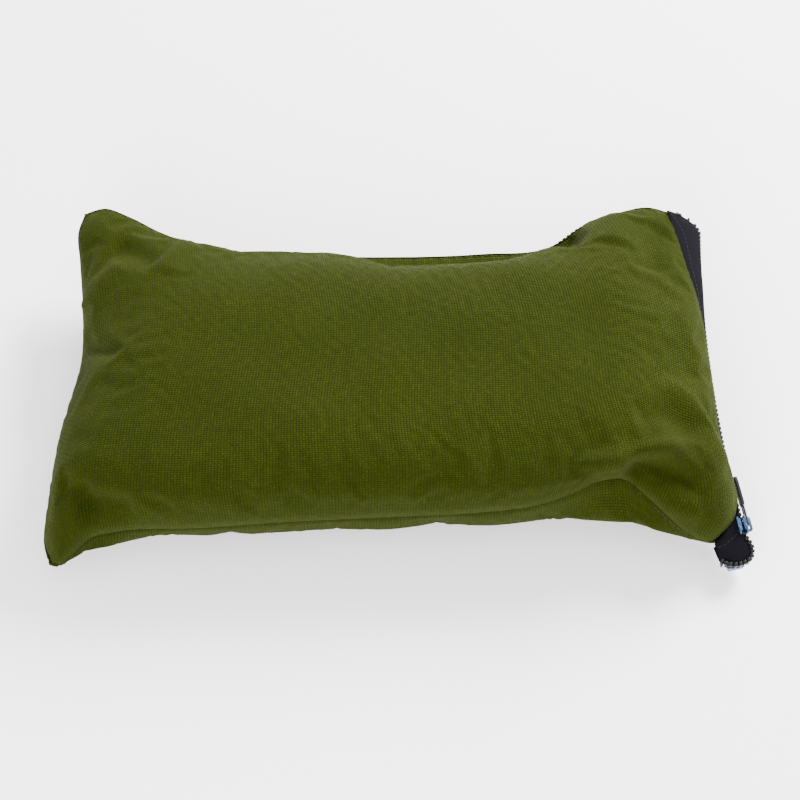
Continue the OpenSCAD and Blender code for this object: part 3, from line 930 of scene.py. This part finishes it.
def make_grip():
    """A moulded rubber grip with finger ribs on both faces."""
    outline = [(-2.6, -11.6), (2.6, -11.6), (3.75, -13.6), (3.75, -26.5), (3.4, -28.2), (2.4, -29.6),
               (1.0, -30.3), (-1.0, -30.3), (-2.4, -29.6), (-3.4, -28.2), (-3.75, -26.5), (-3.75, -13.6)]
    parts = [template(prism(outline[::-1], PIVOT_OUT - 0.95, PIVOT_OUT + 0.95), 0.4, 3)]
    for k in range(6):
        for face in (1, -1):
            parts.append(template(block((4.6, 0.7, 0.5), (0, -16.5 - 2.0 * k, PIVOT_OUT + face * 0.95)), 0.2))
    return on_slider("zip_pull_grip_rubber", parts)


# ---------------------------------------------------------------- the inner cushion

def inner_grid(side, inset, shrink, count_u=150, count_v=90):
    """The inner cushion's skin, inside the cover by inset and narrower at its own seam by shrink."""
    u = 0.5 + (spacing(count_u) - 0.5) * (1 - shrink)
    v = 0.5 + (spacing(count_v) - 0.5) * (1 - 1.7 * shrink)
    v = v + 0.5 * shrink * (1 - v)
    top, bottom = cover_grid(1, u, v), cover_grid(-1, u, v)
    middle = 0.5 * (top + bottom)
    middle[..., :2] = top[..., :2]
    shape = profile(spacing(count_u))[:, None] * profile(spacing(count_v))[None]
    skin = top if side > 0 else bottom
    room = np.maximum(np.abs(skin[..., 2] - middle[..., 2]) - inset, 0.2)
    grid = middle.copy()
    grid[..., 2] += side * room * shape
    return grid


def keep_inside(grid, skin, side, gap):
    """The grid, lowered (or raised, for the back) wherever it comes nearer than gap to the cover's skin."""
    tree = KDTree(skin.shape[0] * skin.shape[1])
    heights = skin[..., 2].ravel()
    for i, (x, y, _) in enumerate(skin.reshape(-1, 3)):
        tree.insert((x, y, 0), i)
    tree.balance()
    for point in grid.reshape(-1, 3):
        near = [heights[i] for _, i, _ in tree.find_n((point[0], point[1], 0), 10)]
        point[2] = min(point[2], min(near) - gap) if side > 0 else max(point[2], max(near) + gap)
    return grid


def make_inner_case(skins):
    made = []
    for side, word in ((1, "front"), (-1, "back")):
        grid = keep_inside(inner_grid(side, 4.5, 0.06), skins[side], side, 1.8)
        cloth_u, cloth_v = cloth_lengths(grid)
        made.append(grid_piece(f"inner_case_{word}_cloth", grid, cloth_u, cloth_v, flip=side < 0, thick=0.4))
    return made


def make_inner_stitching():
    grid = inner_grid(1, 4.5, 0.06)
    ring = np.concatenate([grid[:-1, 0], grid[-1, :-1], grid[:0:-1, -1], grid[0, :0:-1]])
    return stitches("inner_case_seam_stitches", ring, 2.6, 0.7, 0.3, seed=4)


def make_fill(skins):
    """The stuffing: one lumpy body inside the inner case."""
    top = keep_inside(inner_grid(1, 6.0, 0.075), skins[1], 1, 3.4)
    bottom = keep_inside(inner_grid(-1, 6.0, 0.075), skins[-1], -1, 3.4)
    lumps = Noise(31, 30)
    for grid, side in ((top, 1), (bottom, -1)):
        edge = profile(spacing(grid.shape[0] - 1))[:, None] * profile(spacing(grid.shape[1] - 1))[None]
        grid[..., 2] -= side * edge * (1.0 + 0.8 * lumps(grid[..., 0], grid[..., 1]))
    nu, nv = top.shape[0] - 1, top.shape[1] - 1
    points = np.concatenate([top.reshape(-1, 3), bottom.reshape(-1, 3)])
    faces = grid_faces(nu, nv) + [tuple(i + (nu + 1) * (nv + 1) for i in f) for f in grid_faces(nu, nv, True)]
    obj = new_mesh("fibre_fill_body", points, faces)
    bm = bmesh.new()
    bm.from_mesh(obj.data)
    bmesh.ops.remove_doubles(bm, verts=bm.verts, dist=2e-5)
    bm.to_mesh(obj.data)
    bm.free()
    return obj


def make_seam_stitches():
    """The thread of the cover's side seam, down in the valley between the two panels."""
    near = smooth_path(NEAR_SEAM, np.linspace(1, 0.0, 300))
    left = smooth_path(LEFT_SEAM, np.linspace(0, 1, 200))
    far = smooth_path(FAR_SEAM, np.linspace(0, 1, 300))
    line = np.concatenate([near, left[1:], far[1:]])
    centre = line.mean(0)
    inward = centre - line
    inward[:, 2] = 0
    line = line + 2.6 * inward / np.linalg.norm(inward, axis=1, keepdims=True)
    return stitches("cover_seam_thread", line, 2.4, 0.8, 0.35, seed=2)


# ---------------------------------------------------------------- scene set-up

def make_floor():
    bpy.ops.mesh.primitive_plane_add(size=6, location=(0, 0, -0.0006))
    floor = bpy.context.object
    floor.name = "floor"
    sh = Shader("pale_floor")
    sh.set(Base_Color=(0.9, 0.9, 0.9, 1), Roughness=0.9)
    floor.data.materials.append(sh.material)


def area_light(name, place, target, size, power, colour=(1, 1, 1)):
    data = bpy.data.lights.new(name, "AREA")
    data.shape = "DISK"
    data.size = size
    data.energy = power
    data.color = colour
    lamp = bpy.data.objects.new(name, data)
    lamp.location = place
    lamp.rotation_euler = (Vector(target) - Vector(place)).to_track_quat("-Z", "Y").to_euler()
    bpy.context.scene.collection.objects.link(lamp)


def make_lights():
    world = bpy.data.worlds.new("studio")
    world.use_nodes = True
    world.node_tree.nodes["Background"].inputs[0].default_value = (1, 1, 1, 1)
    world.node_tree.nodes["Background"].inputs[1].default_value = WORLD_LIGHT
    bpy.context.scene.world = world
    area_light("key", (1.2, 1.3, 1.15), (0, 0, 0.03), 1.0, KEY_POWER)
    area_light("fill", (-0.5, -1.6, 0.9), (0, 0, 0.03), 1.2, FILL_POWER)


def make_camera():
    azimuth, elevation, distance = math.radians(-2.2), math.radians(59.0), 1.42
    target = Vector((0.005, -0.003, 0.035))
    back = Vector((math.sin(azimuth) * math.cos(elevation), -math.cos(azimuth) * math.cos(elevation),
                   math.sin(elevation)))
    data = bpy.data.cameras.new("camera")
    data.sensor_width = 36
    data.lens = 105.3
    data.shift_y = -0.019
    camera = bpy.data.objects.new("camera", data)
    camera.location = target + distance * back
    camera.rotation_euler = (-back).to_track_quat("-Z", "Y").to_euler()
    bpy.context.scene.collection.objects.link(camera)
    bpy.context.scene.camera = camera


# ---------------------------------------------------------------- assembly

make_camera()
make_floor()
make_lights()

canvas = canvas_material()
tape_black = tape_material()
webbing_blue = webbing_material()
case_white = case_material()
teeth_black = speckled_material("zip_teeth_black", (0.004, 0.004, 0.0045), 0.35)
thread_olive = speckled_material("thread_olive", (0.022, 0.028, 0.001), 0.8)
thread_black = speckled_material("thread_black", (0.004, 0.004, 0.0045), 0.75)
thread_white = speckled_material("thread_white", (0.8, 0.8, 0.78), 0.8)
fibre_white = speckled_material("fibre_white", (0.82, 0.81, 0.76), 0.9, grain=220.0, bump=0.0006)
lacquer_blue = speckled_material("slider_lacquer_blue", (0.008, 0.036, 0.1), 0.34, 0.2, 0.2, 500.0,
                                 0.00002, 0.06)
steel = speckled_material("link_steel", (0.07, 0.07, 0.08), 0.35, 1.0, 0.0, 900.0, 0.00002, 0.06)
rubber_black = speckled_material("grip_rubber_black", (0.005, 0.005, 0.0055), 0.6, grain=900.0)


def place(obj, body, node, slot, material):
    obj.data.materials.clear()
    obj.data.materials.append(material)
    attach(obj, body)
    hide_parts(node)
    return obj


(front, back), skins = make_cover()
for piece, node in ((front, "cover_front_panel"), (back, "cover_back_panel")):
    place(piece, "pillow", node, "cover_canvas", canvas)
place(make_seam_stitches(), "pillow", "cover_seam_stitching", "cover_thread", thread_olive)

for side, word in ((1, "front"), (-1, "back")):
    place(make_tape(side, f"zip_tape_{word}_woven"), "pillow", f"zip_tape_{word}", "zip_tape", tape_black)
    place(make_teeth(side, f"zip_teeth_{word}_row"), "pillow", f"zip_teeth_{word}", "zip_teeth", teeth_black)
    row = stitches(f"zip_topstitch_{word}_row", tape_line(side, 0.3), 2.2, 0.9, 0.3, seed=7 + side)
    place(row, "pillow", f"zip_topstitch_{word}", "black_thread", thread_black)
for stop, node in zip(make_stops(), ("zip_near_stop", "zip_far_stop")):
    place(stop, "pillow", node, "zip_teeth", teeth_black)
place(make_bartacks(), "pillow", "corner_bartacks", "black_thread", thread_black)
place(make_end_tab(), "pillow", "zip_end_tab", "end_tab_webbing", webbing_blue)

place(make_slider(), "slider", "zip_slider", "slider_lacquer", lacquer_blue)
place(make_link(), "pull", "zip_pull_link", "link_steel", steel)
place(make_grip(), "pull", "zip_pull_tab", "pull_grip", rubber_black)

for case, node in zip(make_inner_case(skins), ("inner_case_front", "inner_case_back")):
    place(case, "pillow", node, "inner_case_cloth", case_white)
place(make_inner_stitching(), "pillow", "inner_case_stitching", "white_thread", thread_white)
place(make_fill(skins), "pillow", "fibre_fill", "fibre_fill", fibre_white)
